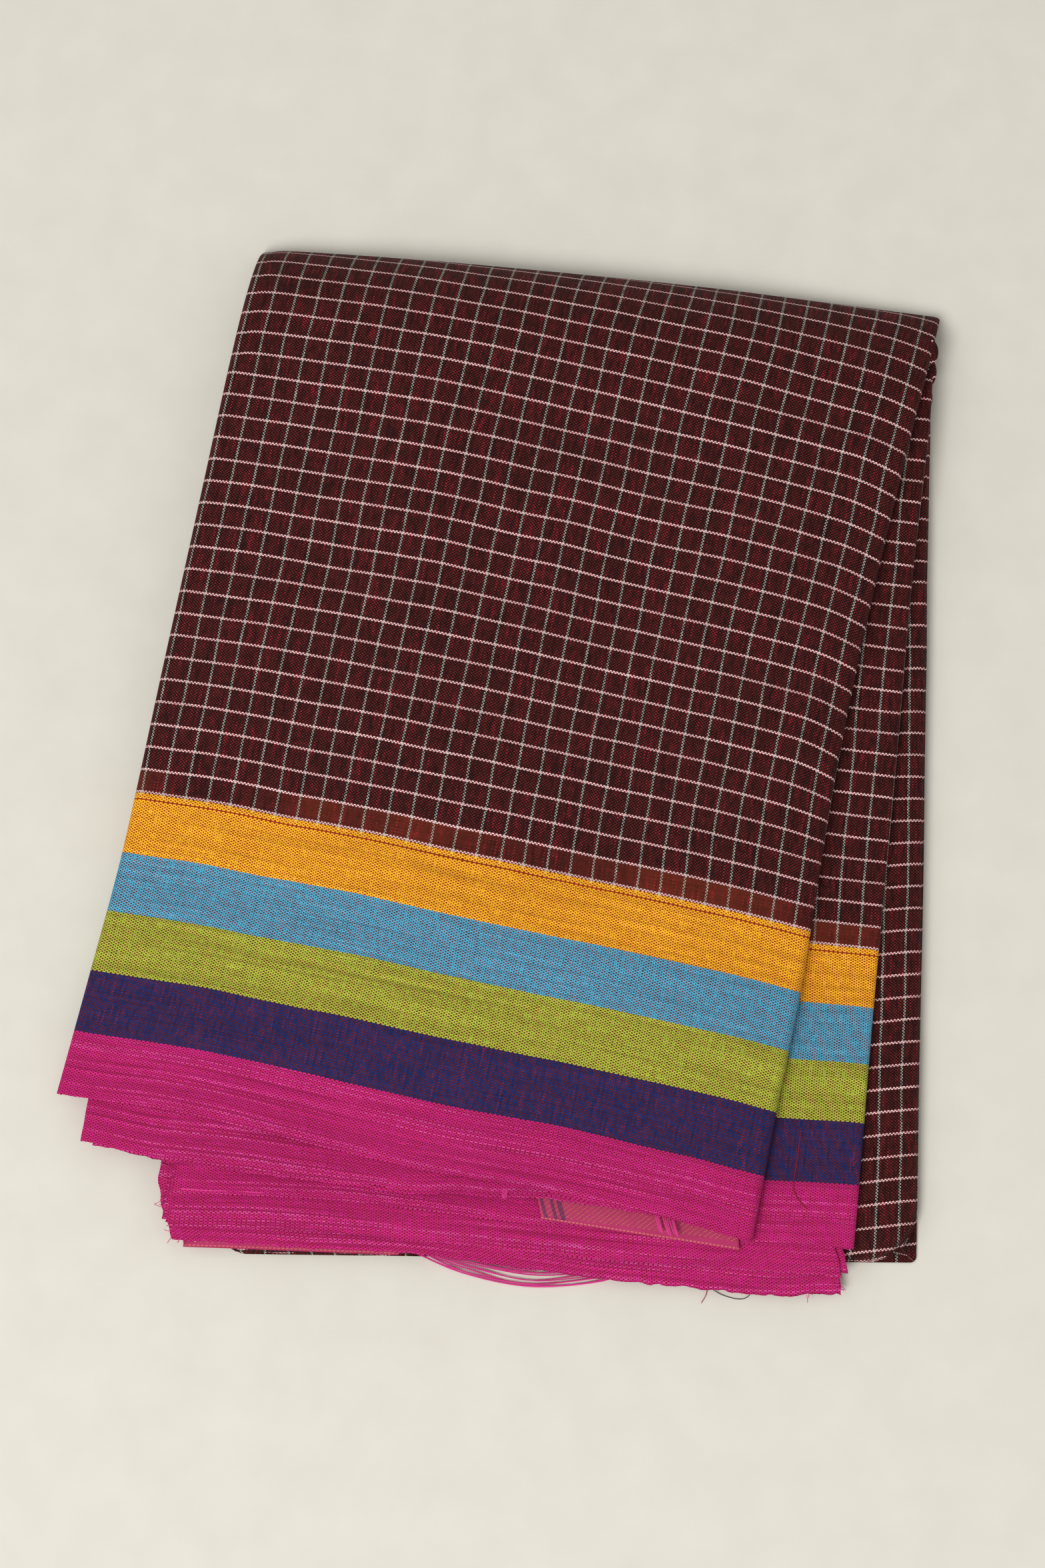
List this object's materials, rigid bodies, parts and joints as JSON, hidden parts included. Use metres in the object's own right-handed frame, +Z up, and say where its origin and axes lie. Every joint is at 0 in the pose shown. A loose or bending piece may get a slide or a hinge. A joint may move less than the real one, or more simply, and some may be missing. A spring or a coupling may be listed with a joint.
{
  "type": "folded cotton sari",
  "caption": "Folded cotton sari, a flat fanned pack of checked cloth with a striped border and magenta selvedges lying along its near edge.",
  "frame": {"origin": "middle of the bounding box, on the surface the sari rests on", "axes": "+Z up out of the pack, +Y from the near edge with the selvedges to the far fold, +X to the right seen from the near edge"},
  "size_m": [0.3008, 0.3636, 0.0307],
  "materials": {
    "checked_cotton": "matte plain weave, maroon with fine white checks and a five-stripe border",
    "magenta_selvedge": "matte plain weave, magenta with darker and lighter picks",
    "zari_end": "plain weave with fine gold picks, slightly glinting"
  },
  "bodies": {
    "root": {"base_pack": "checked_cotton", "middle_flap": "checked_cotton", "top_flap": "checked_cotton", "second_flap": "magenta_selvedge", "lower_flap": "magenta_selvedge", "bottom_flap": "magenta_selvedge", "zari_end_left": "zari_end", "zari_end_right": "zari_end"}
  },
  "joints": []
}
